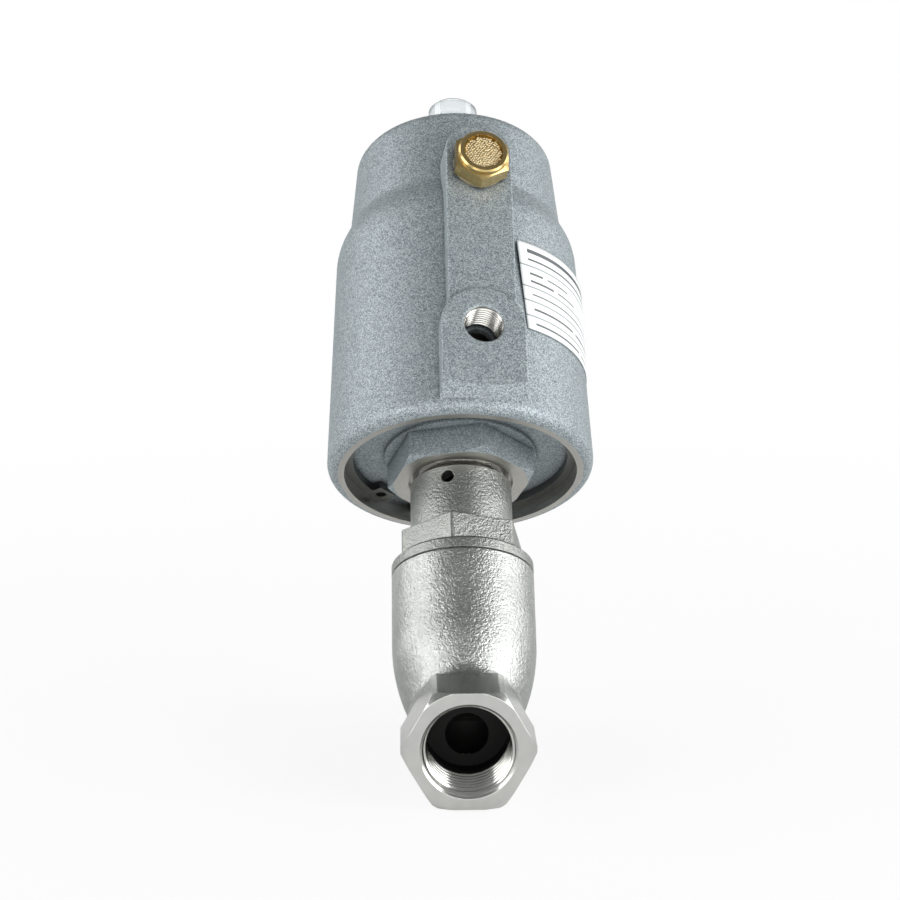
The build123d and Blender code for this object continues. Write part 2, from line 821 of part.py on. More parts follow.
# The retaining ring that holds the cover in the casing, with two lugs for the pliers.
gap = radians(circlip_gap_angle)
lug_length = circlip_groove_d / 2 - circlip_lug_reach - circlip_lug_end
lug_middle_r = circlip_lug_reach + lug_length / 2
hole_r = circlip_lug_reach + circlip_lug_width / 2 - circlip_hole_shift
with BuildPart() as circlip:
    with BuildSketch(stem_plane(circlip_bottom, circlip_lug_turn - 90)):
        Circle(circlip_groove_d / 2 - thread_gap)
        Circle(circlip_inner_d / 2, mode=Mode.SUBTRACT)
        with BuildLine(mode=Mode.PRIVATE) as gap_outline:
            Polyline(
                (0, 0),
                (circlip_groove_d, 0),
                (circlip_groove_d * cos(gap), -circlip_groove_d * sin(gap)),
                close=True,
            )
        make_face(gap_outline.edges(), mode=Mode.SUBTRACT)
        for turn in (0, -circlip_gap_angle):
            with PolarLocations(lug_middle_r, 1, start_angle=turn):
                Rectangle(lug_length, circlip_lug_width)
        for turn in (0, -circlip_gap_angle):
            with PolarLocations(hole_r, 1, start_angle=turn):
                Circle(circlip_lug_hole_d / 2, mode=Mode.SUBTRACT)
    extrude(amount=circlip_width)
save(circlip.part, "circlip")

# ---- Piston ------------------------------------------------------------------------------------
# Air under the piston lifts the stem; the spring above closes the valve again.
piston_r = cylinder_d / 2 - piston_gap
lip_bottom = piston_bottom + lip_seal_height
lip_top = lip_bottom + lip_seal_width
guide_bottom = piston_bottom + guide_ring_height
guide_top = guide_bottom + guide_ring_width
foot_top = piston_bottom + piston_foot_height
with BuildPart() as piston:
    revolve(
        stem_profile(
            (piston_stud_d / 2 + thread_gap, piston_bottom),
            (piston_foot_d / 2, piston_bottom),
            (piston_foot_d / 2, foot_top),
            (piston_r, lip_bottom - piston_land / 2),
            (piston_r, lip_bottom),
            (piston_r - lip_seal_depth, lip_bottom),
            (piston_r - lip_seal_depth, lip_top),
            (piston_r, lip_top),
            (piston_r, guide_bottom),
            (piston_r - guide_ring_depth, guide_bottom),
            (piston_r - guide_ring_depth, guide_top),
            (piston_r, guide_top),
            (piston_r, piston_top),
            (piston_pocket_d / 2, piston_top),
            (piston_pocket_d / 2, spring_bottom),
            (piston_hub_d / 2, spring_bottom),
            (piston_hub_d / 2, piston_washer_bottom),
            (piston_stud_d / 2 + thread_gap, piston_washer_bottom),
        ),
        axis=stem_axis,
    )
    stud_ring_top = piston_bottom + piston_ring_d
    stud_ring_room = tube_profile(0, piston_stud_d + 2 * piston_ring_d, piston_bottom, stud_ring_top)
    revolve(stud_ring_room, axis=stem_axis, mode=Mode.SUBTRACT)
save(piston.part, "piston")

with BuildPart() as piston_o_ring:
    ring_r = (piston_stud_d + piston_ring_d) / 2
    ring_height = piston_bottom + piston_ring_d / 2
    ring_face = ring_profile(stem_half_plane(), ring_r, ring_height, piston_ring_d - ring_slack)
    revolve(ring_face, axis=stem_axis)
save(piston_o_ring.part, "piston_o_ring")

lip_inner_r = piston_r - lip_seal_depth
lip_outer_r = cylinder_d / 2 - stem_clearance
with BuildPart() as piston_lip_seal:
    revolve(
        stem_profile(
            (lip_inner_r, lip_bottom),
            (lip_inner_r + lip_thickness, lip_bottom),
            (lip_inner_r + lip_thickness, lip_top - lip_back),
            (lip_outer_r - lip_thickness, lip_bottom),
            (lip_outer_r, lip_bottom),
            (lip_outer_r - lip_lean, lip_top),
            (lip_inner_r, lip_top),
        ),
        axis=stem_axis,
    )
save(piston_lip_seal.part, "piston_lip_seal")

with BuildPart() as piston_guide_ring:
    guide_outline = tube_profile(2 * (piston_r - guide_ring_depth), 2 * lip_outer_r, guide_bottom, guide_top)
    revolve(guide_outline, axis=stem_axis)
save(piston_guide_ring.part, "piston_guide_ring")

with BuildPart() as piston_washer:
    washer_outline = tube_profile(piston_stud_d, piston_washer_d, piston_washer_bottom, piston_nut_bottom)
    revolve(washer_outline, axis=stem_axis)
save(piston_washer.part, "piston_washer")

with BuildPart() as piston_nut:
    with BuildSketch(stem_plane(piston_nut_bottom)):
        RegularPolygon(piston_nut_flats / 2, 6, major_radius=False)
        Circle(piston_stud_d / 2, mode=Mode.SUBTRACT)
    extrude(amount=piston_nut_height)
save(piston_nut.part, "piston_nut")

spring_length = spring_room_top - spring_bottom
main_spring = coil_spring(spring_bottom, spring_length, spring_mean_d, spring_wire, spring_turns)
save(main_spring, "main_spring")

# ---- Position indicator --------------------------------------------------------------------------
# The rod stands on the stem and shows in the clear cap when the valve is open.
with BuildPart() as indicator_rod:
    revolve(
        stem_profile(
            (0, stem_top - rod_stud_length),
            (rod_stud_d / 2, stem_top - rod_stud_length),
            (rod_stud_d / 2, stem_top),
            (rod_collar_d / 2, stem_top),
            (rod_collar_d / 2, stem_top + rod_collar_height),
            (rod_d / 2, stem_top + rod_collar_height),
            (rod_d / 2, rod_tip - rod_edge),
            (rod_d / 2 - rod_edge, rod_tip),
            (0, rod_tip),
        ),
        axis=stem_axis,
    )
save(indicator_rod.part, "indicator_rod")

cap_r = cap_d / 2
cap_thread_bottom = top_boss_top - cap_thread_length
cap_bore_top = cap_top - cap_roof
with BuildPart() as indicator_cap:
    revolve(
        stem_profile(
            (cap_bore_d / 2, cap_thread_bottom),
            (cap_thread_d / 2, cap_thread_bottom),
            (cap_thread_d / 2, top_boss_top),
            (cap_r, top_boss_top),
            (cap_r, cap_top - cap_edge),
            (cap_r - cap_edge, cap_top),
            (0, cap_top),
            (0, cap_bore_top),
            (cap_bore_d / 2, cap_bore_top),
        ),
        axis=stem_axis,
    )
save(indicator_cap.part, "indicator_cap")

with BuildPart() as cap_o_ring:
    ring_r = (cap_thread_d + cap_d) / 4
    ring_height = top_boss_top - cap_ring_d / 2
    ring_face = ring_profile(stem_half_plane(), ring_r, ring_height, cap_ring_d - ring_slack)
    revolve(ring_face, axis=stem_axis)
save(cap_o_ring.part, "cap_o_ring")

# ---- Silencer in the vent port ----------------------------------------------------------------------
vent_axis = port_axis(vent_port_height)
silencer_disc_top = silencer_top - silencer_disc_sunk
silencer_disc_bottom = silencer_disc_top - silencer_disc_thickness
with BuildPart() as silencer_body:
    with BuildSketch(port_plane(vent_port_height, silencer_bottom)):
        RegularPolygon(silencer_flats / 2, 6, major_radius=False, rotation=30)
    extrude(amount=silencer_hex_height)
    hex_corner_r = silencer_flats / 3**0.5
    revolve(
        profile(
            port_half_plane(vent_port_height),
            [
                (0, silencer_bottom),
                (hex_corner_r, silencer_bottom),
                (hex_corner_r, silencer_hex_top - silencer_hex_chamfer),
                (hex_corner_r - 2 * silencer_hex_chamfer, silencer_hex_top),
                (0, silencer_hex_top),
            ],
        ),
        axis=vent_axis,
        mode=Mode.INTERSECT,
    )
    revolve(
        profile(
            port_half_plane(vent_port_height),
            [
                (0, silencer_bottom - silencer_shank_length),
                (port_thread_d / 2 - thread_gap, silencer_bottom - silencer_shank_length),
                (port_thread_d / 2 - thread_gap, silencer_bottom),
                (silencer_collar_d / 2, silencer_bottom),
                (silencer_collar_d / 2, silencer_top - silencer_collar_edge),
                (silencer_collar_d / 2 - silencer_collar_edge, silencer_top),
                (0, silencer_top),
            ],
        ),
        axis=vent_axis,
    )
    revolve(
        profile(
            port_half_plane(vent_port_height),
            [
                (0, silencer_bottom - silencer_shank_length),
                (silencer_way_d / 2, silencer_bottom - silencer_shank_length),
                (silencer_way_d / 2, silencer_disc_bottom),
                (silencer_disc_d / 2, silencer_disc_bottom),
                (silencer_disc_d / 2, silencer_top),
                (0, silencer_top),
            ],
        ),
        axis=vent_axis,
        mode=Mode.SUBTRACT,
    )
save(silencer_body.part, "silencer_body")

with BuildPart() as silencer_disc:
    with BuildSketch(port_plane(vent_port_height, silencer_disc_bottom)):
        Circle(silencer_disc_d / 2)
    extrude(amount=silencer_disc_thickness)
save(silencer_disc.part, "silencer_disc")

with BuildPart() as silencer_washer:
    with BuildSketch(port_plane(vent_port_height, strip_reach)):
        Circle(silencer_washer_d / 2)
        Circle(port_thread_d / 2, mode=Mode.SUBTRACT)
    extrude(amount=silencer_washer_thickness)
save(silencer_washer.part, "silencer_washer")

# ---- Label ---------------------------------------------------------------------------------------------
with BuildPart() as label:
    revolve(
        profile(
            stem_half_plane(label_start_turn),
            [
                (casing_r(label_bottom), label_bottom),
                (casing_r(label_bottom) + label_thickness, label_bottom),
                (casing_r(label_top) + label_thickness, label_top),
                (casing_r(label_top), label_top),
            ],
        ),
        axis=stem_axis,
        revolution_arc=label_wrap_angle,
    )
save(label.part, "label")
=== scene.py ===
# %% [markdown]
# # Angle seat valve with a piston actuator
# The real valve is a stainless investment casting that screws into a pipe, with a painted die-cast
# air cylinder leaning back over it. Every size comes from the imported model, the frame, which also
# holds the bodies that move. This lesson dresses that frame: it gives each piece the finish of its
# real process, and adds what is too fine for the solids, such as thread ridges and sintered grains.

# %% Load the frame
import json
import math
import random

import bpy
from mathutils import Matrix, Vector


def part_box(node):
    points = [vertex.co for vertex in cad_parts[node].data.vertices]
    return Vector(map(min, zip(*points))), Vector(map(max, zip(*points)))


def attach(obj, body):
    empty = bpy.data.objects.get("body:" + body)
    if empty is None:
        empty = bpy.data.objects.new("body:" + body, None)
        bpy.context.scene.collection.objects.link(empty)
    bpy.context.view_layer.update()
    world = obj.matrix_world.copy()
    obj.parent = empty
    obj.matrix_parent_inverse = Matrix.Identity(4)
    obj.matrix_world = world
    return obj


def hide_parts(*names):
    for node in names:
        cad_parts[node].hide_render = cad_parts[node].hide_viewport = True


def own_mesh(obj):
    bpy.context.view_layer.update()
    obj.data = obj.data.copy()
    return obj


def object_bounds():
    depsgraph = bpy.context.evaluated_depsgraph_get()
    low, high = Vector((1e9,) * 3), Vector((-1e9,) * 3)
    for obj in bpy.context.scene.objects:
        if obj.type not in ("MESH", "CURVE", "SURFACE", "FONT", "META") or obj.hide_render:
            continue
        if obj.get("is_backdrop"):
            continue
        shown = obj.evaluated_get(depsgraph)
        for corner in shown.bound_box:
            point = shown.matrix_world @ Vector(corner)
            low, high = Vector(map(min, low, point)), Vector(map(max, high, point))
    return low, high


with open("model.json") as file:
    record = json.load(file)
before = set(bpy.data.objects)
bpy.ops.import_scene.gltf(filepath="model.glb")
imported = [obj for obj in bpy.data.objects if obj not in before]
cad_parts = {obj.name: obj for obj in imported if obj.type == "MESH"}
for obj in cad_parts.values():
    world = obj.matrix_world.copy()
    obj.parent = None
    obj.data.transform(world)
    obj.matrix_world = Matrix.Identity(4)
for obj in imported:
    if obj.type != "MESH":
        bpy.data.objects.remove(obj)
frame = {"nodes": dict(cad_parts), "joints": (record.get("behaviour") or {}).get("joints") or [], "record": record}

cad_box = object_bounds()
nodes = frame["nodes"]

# %% [markdown]
# The stem leans over the pipe, so most pieces are round about a slanted axis. The axis is the
# slide joint's direction, and it passes through the swivel joint's point on the pipe axis. Places
# are then said as a turner would: height along the stem, radius from it, and turn around it.

# %% Axes and measures
MM = 0.001
joints = {joint["name"]: joint for joint in frame["joints"]}
stem_dir = Vector(joints["stem_slide"]["axis"]).normalized()
crossing = Vector(joints["actuator_swivel"]["pos_m"])
side_dir = Vector((1, 0, 0))
front_dir = side_dir.cross(stem_dir)
pipe_dir = Vector((0, 1, 0))
pipe_start = Vector((0, 0, 0))


def across(turn):
    """Direction square to the stem; turn is 0 on the inlet side and 90 at +X."""
    return side_dir * math.sin(math.radians(turn)) + front_dir * math.cos(math.radians(turn))


def on_stem(height, radius=0.0, turn=0.0):
    """Point at a height along the stem, a radius from it and a turn around it, in metres."""
    return crossing + stem_dir * height + across(turn) * radius


def along(point, start=None, direction=None):
    """Height of a point along an axis, and its radius from it."""
    direction = direction or stem_dir
    offset = point - (start if start is not None else crossing)
    height = offset.dot(direction)
    return height, (offset - direction * height).length


def span(node):
    """(lowest height, highest height, largest radius) of a node about the stem."""
    measured = [along(vertex.co) for vertex in nodes[node].data.vertices]
    heights = [height for height, radius in measured]
    return min(heights), max(heights), max(radius for height, radius in measured)


for name in ("casing", "cover", "bonnet", "label", "indicator_cap"):
    print(name, [round(value / MM, 2) for value in span(name)])

# %% [markdown]
# Colours are written as sRGB hex values, as a paint chart gives them. Shaders work in linear
# light, so one function converts them. One function adds every shader node: its plain values and
# its links go in by socket name, and its settings by keyword. Two nodes come up often. Map Range
# turns a pattern's 0 to 1 into the range that a socket needs. Mix, set to colours, has its factor
# in socket 0, its two colours in sockets 6 and 7, and its result in output 2.

# %% Shader helpers
def srgb(code, alpha=1.0):
    """Linear colour of an sRGB hex value such as #a0b0c0."""
    values = [int(code[i : i + 2], 16) / 255 for i in (1, 3, 5)]
    linear = [v / 12.92 if v <= 0.04045 else ((v + 0.055) / 1.055) ** 2.4 for v in values]
    return (*linear, alpha)


def add_node(tree, kind, inputs=None, **settings):
    """Adds a shader node; an input is a value, or another node's output to link to it."""
    node = tree.nodes.new("ShaderNode" + kind)
    for name, value in settings.items():
        setattr(node, name, value)
    for name, value in (inputs or {}).items():
        socket = node.inputs[name]
        if isinstance(value, bpy.types.NodeSocket):
            tree.links.new(value, socket)
        else:
            socket.default_value = value
    return node


def new_material(name):
    """An empty material with its node tree and output."""
    material = bpy.data.materials.new(name)
    material.use_nodes = True
    tree = material.node_tree
    tree.nodes.clear()
    return material, tree, add_node(tree, "OutputMaterial")


def per_metre(size_mm):
    """Texture scale that makes one cell of a pattern that size."""
    return 1000.0 / size_mm


def finish(tree, output, surface):
    """Links a shader to the material's output."""
    tree.links.new(surface, output.inputs["Surface"])


def darker(code, share):
    """Linear colour of an sRGB hex value, darkened to a share of its light."""
    return tuple(channel * share for channel in srgb(code)[:3]) + (1.0,)


# %% [markdown]
# ## Metallic lacquer on a die casting
# The actuator's casing is die-cast aluminium under a sprayed blue-grey metallic lacquer. The eye
# reads three scales: flakes that glint one by one, a soft mottle where the spray lay thicker, and
# the slight orange peel of the cast skin. The shader could be a single metallic value, but flakes
# only glint if each has its own tilt, so a Voronoi pattern gives every cell its own slope, and its
# own brightness in the colour, which is a painted glint. A real flake is far finer than a fifth of a
# millimetre; it is drawn that coarse so that it shows. Where two surfaces meet, ambient occlusion
# darkens the colour: painted shade in the crevices.

# %% Metallic lacquer
FLAKE_MM = 0.20
FLAKE_SHARE = 0.86
MOTTLE_MM = 1.8
PEEL_MM = 0.22
PEEL_HIGH_MM = 0.06
# Reach and colour of the painted shade in crevices.
CREVICE_SHADE_MM = 1.5
PAINTED_CREVICE_SHADE = "#33393c"


def metallic_lacquer(name, dark, light, edge_mm=0.22):
    """Sprayed metallic paint between two shades, softened at edges by a bevel, with painted shade where surfaces
    meet.
    """
    material, tree, output = new_material(name)
    place = add_node(tree, "TexCoord").outputs["Object"]
    flakes = add_node(tree, "TexVoronoi", {"Vector": place, "Scale": per_metre(FLAKE_MM)})
    flake = add_node(tree, "SeparateColor", {"Color": flakes.outputs["Color"]})
    mottle = add_node(tree, "TexNoise", {"Vector": place, "Scale": per_metre(MOTTLE_MM), "Detail": 3.0})
    peel = add_node(tree, "TexNoise", {"Vector": place, "Scale": per_metre(PEEL_MM), "Detail": 3.0})

    # Each flake's brightness in the colour is partly a painted glint; the tilt in the bump below glints for real.
    glint = add_node(
        tree, "MapRange", {"Value": flake.outputs["Red"], "From Min": 0.15, "To Max": FLAKE_SHARE}
    )
    cloud = add_node(tree, "MapRange", {"Value": mottle.outputs["Fac"], "To Max": 1 - FLAKE_SHARE})
    shade = add_node(tree, "Math", {0: glint.outputs[0], 1: cloud.outputs[0]}, operation="ADD")
    sprayed = add_node(
        tree, "Mix", {0: shade.outputs[0], 6: srgb(dark), 7: srgb(light)}, data_type="RGBA"
    )
    # Painted shade: ambient occlusion darkens the lacquer's colour where surfaces meet.
    crevice_shade = add_node(tree, "AmbientOcclusion", {"Distance": CREVICE_SHADE_MM * MM}, samples=4)
    unshaded_share = add_node(
        tree, "MapRange", {"Value": crevice_shade.outputs["AO"], "From Min": 0.25, "From Max": 0.9}
    )
    colour = add_node(
        tree, "Mix", {0: unshaded_share.outputs[0], 6: srgb(PAINTED_CREVICE_SHADE), 7: sprayed.outputs[2]}, data_type="RGBA"
    )

    tilt = add_node(tree, "MapRange", {"Value": flake.outputs["Green"], "To Max": 0.5})
    height = add_node(tree, "Math", {0: tilt.outputs[0], 1: peel.outputs["Fac"]}, operation="ADD")
    bevel = add_node(tree, "Bevel", {"Radius": edge_mm * MM}, samples=6)
    bump = add_node(
        tree,
        "Bump",
        {
            "Strength": 0.6,
            "Distance": PEEL_HIGH_MM * MM,
            "Height": height.outputs[0],
            "Normal": bevel.outputs[0],
        },
    )
    gloss = add_node(tree, "MapRange", {"Value": flake.outputs["Blue"], "To Min": 0.38, "To Max": 0.62})
    paint = add_node(
        tree,
        "BsdfPrincipled",
        {
            "Base Color": colour.outputs[2],
            "Metallic": 0.45,
            "Roughness": gloss.outputs[0],
            "Normal": bump.outputs[0],
        },
    )
    finish(tree, output, paint.outputs[0])
    return material


casing_paint = metallic_lacquer("metallic_lacquer_sprayed", "#5d686d", "#bfc7ca")
cover_paint = metallic_lacquer("metallic_lacquer_on_cover", "#626d72", "#b7bfc2", edge_mm=0.3)
print("lacquer flakes of", FLAKE_MM, "mm")

# %% [markdown]
# ## Blasted stainless castings
# The body and the bonnet are investment castings in stainless steel, glass-bead blasted. Blasting
# leaves dimples of a little under half a millimetre that break a reflection into soft grains, so
# the metal looks silky in bright stretches and sandy in dark ones. A two-scale noise bump does
# that on a metal whose IOR stays at its default.

# %% Blasted steel
BLAST_DEPTH_MM = 0.19
DENT_RATIO = 2.2
STAIN_MM = 7.0
CAST_EDGE_MM = 0.3


def blasted_steel(name, shade, grain_mm, roughness):
    """Bead-blasted stainless casting."""
    material, tree, output = new_material(name)
    place = add_node(tree, "TexCoord").outputs["Object"]
    grain = add_node(tree, "TexNoise", {"Vector": place, "Scale": per_metre(grain_mm), "Detail": 2.5})
    dents = add_node(
        tree, "TexNoise", {"Vector": place, "Scale": per_metre(grain_mm * DENT_RATIO), "Detail": 1.0}
    )
    stain = add_node(tree, "TexNoise", {"Vector": place, "Scale": per_metre(STAIN_MM), "Detail": 4.0})

    cleaned = add_node(
        tree, "MapRange", {"Value": stain.outputs["Fac"], "From Min": 0.3, "From Max": 0.7}
    )
    colour = add_node(
        tree, "Mix", {0: cleaned.outputs[0], 6: darker(shade, 0.80), 7: srgb(shade)}, data_type="RGBA"
    )

    wide = add_node(tree, "MapRange", {"Value": dents.outputs["Fac"], "To Max": 0.9})
    height = add_node(tree, "Math", {0: grain.outputs["Fac"], 1: wide.outputs[0]}, operation="ADD")
    bevel = add_node(tree, "Bevel", {"Radius": CAST_EDGE_MM * MM}, samples=6)
    bump = add_node(
        tree,
        "Bump",
        {
            "Strength": 1.0,
            "Distance": BLAST_DEPTH_MM * MM,
            "Height": height.outputs[0],
            "Normal": bevel.outputs[0],
        },
    )
    gloss = add_node(
        tree,
        "MapRange",
        {
            "Value": grain.outputs["Fac"],
            "From Min": 0.3,
            "From Max": 0.7,
            "To Min": roughness - 0.06,
            "To Max": roughness + 0.08,
        },
    )
    steel = add_node(
        tree,
        "BsdfPrincipled",
        {
            "Base Color": colour.outputs[2],
            "Metallic": 1.0,
            "Roughness": gloss.outputs[0],
            "Normal": bump.outputs[0],
        },
    )
    finish(tree, output, steel.outputs[0])
    return material


body_cast = blasted_steel("stainless_cast_blasted", "#b9bbb8", 0.42, 0.3)
# The bonnet takes a darker copy of the body's steel: painted shade for the upper barrel.
bonnet_cast_shaded = blasted_steel("stainless_cast_blasted_shaded_copy", "#a3a5a1", 0.38, 0.36)
print("blasted castings:", body_cast.name, bonnet_cast_shaded.name)

# %% [markdown]
# ## Turned and milled metal
# The machined places are the same steel with the marks of the tool. A lathe leaves rings about the
# axis that it turned the piece on. Noise stretched along a ring does that: it is read only at a
# point's radius and height, so it is the same all the way round. The flats of the hexagon get
# marks about the side axis, which cross them as a milling cutter does.

# %% Turned metal
TURNED_DEPTH_MM = 0.02
SMEAR_MM = 3.0


def turned_metal(name, shade, start, direction, roughness, marks_mm=0.14, strength=0.12, edge_mm=0.2):
    """Lathe-turned metal: marks run round the axis from start along direction."""
    material, tree, output = new_material(name)
    axis = tuple(direction)
    place = add_node(tree, "TexCoord").outputs["Object"]
    offset = add_node(tree, "VectorMath", {0: place, 1: tuple(start)}, operation="SUBTRACT")
    height = add_node(tree, "VectorMath", {0: offset.outputs[0], 1: axis}, operation="DOT_PRODUCT")
    foot = add_node(tree, "VectorMath", {0: axis, "Scale": height.outputs["Value"]}, operation="SCALE")
    spoke = add_node(tree, "VectorMath", {0: offset.outputs[0], 1: foot.outputs[0]}, operation="SUBTRACT")
    radius = add_node(tree, "VectorMath", {0: spoke.outputs[0]}, operation="LENGTH")
    section = add_node(tree, "CombineXYZ", {"X": radius.outputs["Value"], "Y": height.outputs["Value"]})
    marks = add_node(
        tree, "TexNoise", {"Vector": section.outputs[0], "Scale": per_metre(marks_mm), "Detail": 2.0}
    )
    smear = add_node(tree, "TexNoise", {"Vector": place, "Scale": per_metre(SMEAR_MM), "Detail": 3.0})

    colour = add_node(
        tree, "Mix", {0: smear.outputs["Fac"], 6: darker(shade, 0.82), 7: srgb(shade)}, data_type="RGBA"
    )
    bevel = add_node(tree, "Bevel", {"Radius": edge_mm * MM}, samples=6)
    bump = add_node(
        tree,
        "Bump",
        {
            "Strength": strength,
            "Distance": TURNED_DEPTH_MM * MM,
            "Height": marks.outputs["Fac"],
            "Normal": bevel.outputs[0],
        },
    )
    gloss = add_node(
        tree,
        "MapRange",
        {
            "Value": marks.outputs["Fac"],
            "From Min": 0.3,
            "From Max": 0.7,
            "To Min": roughness - 0.04,
            "To Max": roughness + 0.08,
        },
    )
    metal = add_node(
        tree,
        "BsdfPrincipled",
        {
            "Base Color": colour.outputs[2],
            "Metallic": 1.0,
            "Roughness": gloss.outputs[0],
            "Normal": bump.outputs[0],
        },
    )
    finish(tree, output, metal.outputs[0])
    return material


pipe_turned = turned_metal("stainless_turned_pipe_end", "#d2d2ce", pipe_start, pipe_dir, 0.16)
hex_milled = turned_metal("stainless_milled_hexagon", "#c9c9c5", pipe_start, side_dir, 0.14, 0.3, 0.08, 0.3)
stem_turned = turned_metal("stainless_turned", "#c8c7c3", crossing, stem_dir, 0.2)
cover_turned = turned_metal("aluminium_turned", "#b9b7b1", crossing, stem_dir, 0.3, 0.16, 0.25)
stem_ground = turned_metal("stainless_ground", "#d6d6d4", crossing, stem_dir, 0.08, 0.1, 0.05)
print("turned metals:", [material.name for material in (pipe_turned, hex_milled, stem_turned)])

# %% [markdown]
# ## Rubber, plastics, brass and dark steels
# The seals are moulded rubber and PTFE, the retaining ring is phosphated spring steel, and the
# silencer is turned brass with a disc of sintered bronze grains. The ways inside the body get a
# near-black colour, which is painted shade. Each gets its own colour and a fine noise, because even a plain
# moulding has a faint texture under a lamp.

# %% Small finishes
MOULDED_DEPTH_MM = 0.04


def moulded(name, shade, roughness, grain_mm=0.4, metallic=0.0, strength=0.2):
    """Moulded, pressed or phosphated surface with a fine even grain."""
    material, tree, output = new_material(name)
    place = add_node(tree, "TexCoord").outputs["Object"]
    grain = add_node(tree, "TexNoise", {"Vector": place, "Scale": per_metre(grain_mm), "Detail": 3.0})
    colour = add_node(
        tree, "Mix", {0: grain.outputs["Fac"], 6: darker(shade, 0.78), 7: srgb(shade)}, data_type="RGBA"
    )
    bump = add_node(
        tree,
        "Bump",
        {"Strength": strength, "Distance": MOULDED_DEPTH_MM * MM, "Height": grain.outputs["Fac"]},
    )
    skin = add_node(
        tree,
        "BsdfPrincipled",
        {
            "Base Color": colour.outputs[2],
            "Metallic": metallic,
            "Roughness": roughness,
            "Normal": bump.outputs[0],
        },
    )
    finish(tree, output, skin.outputs[0])
    return material


rubber = moulded("nitrile_rubber_moulded", "#1b1b1c", 0.55)
ptfe = moulded("ptfe_moulded", "#e4e2db", 0.45)
graphite = moulded("graphite_gasket_pressed", "#2c2c2d", 0.5)
spring_steel = moulded("spring_steel_drawn", "#6b6c6e", 0.32, metallic=1.0)
phosphated = moulded("spring_steel_phosphated", "#6f716e", 0.4, metallic=1.0)
fibre = moulded("fibre_washer_punched", "#8d8468", 0.7)
red_plastic = moulded("red_acetal_turned", "#b3221a", 0.35)
bronze = moulded("bronze_bush_sintered", "#8c6f3c", 0.45, metallic=1.0)
brass = moulded("brass_turned", "#cbb178", 0.24, 0.6, metallic=1.0, strength=0.08)
grains = moulded("bronze_grains_sintered", "#dccba4", 0.3, 0.3, metallic=1.0)
# Painted shade: the ways inside the body are given a near-black colour.
ways_painted_dark = moulded("stainless_ways_painted_shade", "#1d1d1c", 0.6, 0.5, metallic=0.6)
print("small finishes, from", rubber.name, "to", ways_painted_dark.name)

# %% [markdown]
# ## Clear acrylic
# The cap over the indicator is turned from clear acrylic and polished. It is a full refraction
# shader with the IOR of acrylic, and a faint haze varies its gloss. Light that enters the turned
# edge at the top can't leave it towards a viewer below, so that edge gets painted shade: a dark colour.

# %% Acrylic
HAZE_MM = 2.0


def clear_acrylic(name):
    """Polished clear acrylic with a faint haze."""
    material, tree, output = new_material(name)
    place = add_node(tree, "TexCoord").outputs["Object"]
    haze = add_node(tree, "TexNoise", {"Vector": place, "Scale": per_metre(HAZE_MM), "Detail": 3.0})
    tint = add_node(
        tree, "Mix", {0: haze.outputs["Fac"], 6: srgb("#e9f0f3"), 7: srgb("#f6fafb")}, data_type="RGBA"
    )
    gloss = add_node(tree, "MapRange", {"Value": haze.outputs["Fac"], "To Min": 0.03, "To Max": 0.12})
    acrylic = add_node(
        tree,
        "BsdfPrincipled",
        {
            "Base Color": tint.outputs[2],
            "Roughness": gloss.outputs[0],
            "Transmission Weight": 1.0,
            "IOR": 1.49,
        },
    )
    finish(tree, output, acrylic.outputs[0])
    return material


acrylic = clear_acrylic("acrylic_clear_polished")
# Painted shade: the cap's turned edge is given a near-black colour.
acrylic_shaded_edge = moulded("acrylic_edge_painted_dark", "#15191b", 0.5)
print("materials:", len(bpy.data.materials))

# %% [markdown]
# ## Dressing the solids
# A solid whose shape is right keeps its mesh and gets a finish. Where one piece has two
# finishes, such as a blasted casting with a turned face, each polygon is sorted by where it lies,
# because that is how the machinist sees it: the cutter reached this face and not that one.

# %% Assign the plain finishes
def dress(node, *materials):
    """Gives a CAD node its materials, the first one everywhere."""
    mesh = nodes[node].data
    mesh.materials.clear()
    for material in materials:
        mesh.materials.append(material)
    for polygon in mesh.polygons:
        polygon.material_index = 0
    return mesh


plain = {
    "body_gasket": graphite,
    "packing_spring": spring_steel,
    "packing_washer": stem_turned,
    "packing_rings": ptfe,
    "gland_nut": brass,
    "stem": stem_ground,
    "disc": stem_turned,
    "disc_seal": ptfe,
    "disc_nut": stem_turned,
    "stem_o_ring": rubber,
    "guide_bush": bronze,
    "cover_o_ring": rubber,
    "circlip": phosphated,
    "piston": cover_turned,
    "piston_o_ring": rubber,
    "piston_lip_seal": rubber,
    "piston_guide_ring": ptfe,
    "piston_washer": stem_turned,
    "piston_nut": stem_turned,
    "main_spring": spring_steel,
    "indicator_rod": red_plastic,
    "cap_o_ring": rubber,
    "silencer_body": brass,
    "silencer_washer": fibre,
}
for node, material in plain.items():
    dress(node, material)
print("dressed", len(plain), "nodes with one finish")

# %% [markdown]
# The body is blasted all over, then each pipe end is machined: the ring that seals, the flats of
# the hexagon and the bore. Past the thread nothing was machined, and the ways are given a near-black
# colour as painted shade. The sorting uses the body's own box and the thread's mount.

# %% The body's machined ends
mounts = {mount["name"]: mount for mount in frame["record"]["mounts"]}
body_low, body_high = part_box("valve_body")
thread_r = mounts["inlet_port"]["dims"]["r_mm"] * MM
HEX_LENGTH = 15.0 * MM
HEX_SKIN = 0.3 * MM
BORE_WALL = 1.2 * MM
THREAD_END = 14.0 * MM
CHAMBER_R = 12.8 * MM


def sort_faces(mesh, rule):
    """Gives each polygon the material index that the rule returns for its centre and normal."""
    counts = {}
    for polygon in mesh.polygons:
        polygon.material_index = rule(polygon.center, polygon.normal)
        counts[polygon.material_index] = counts.get(polygon.material_index, 0) + 1
    return counts


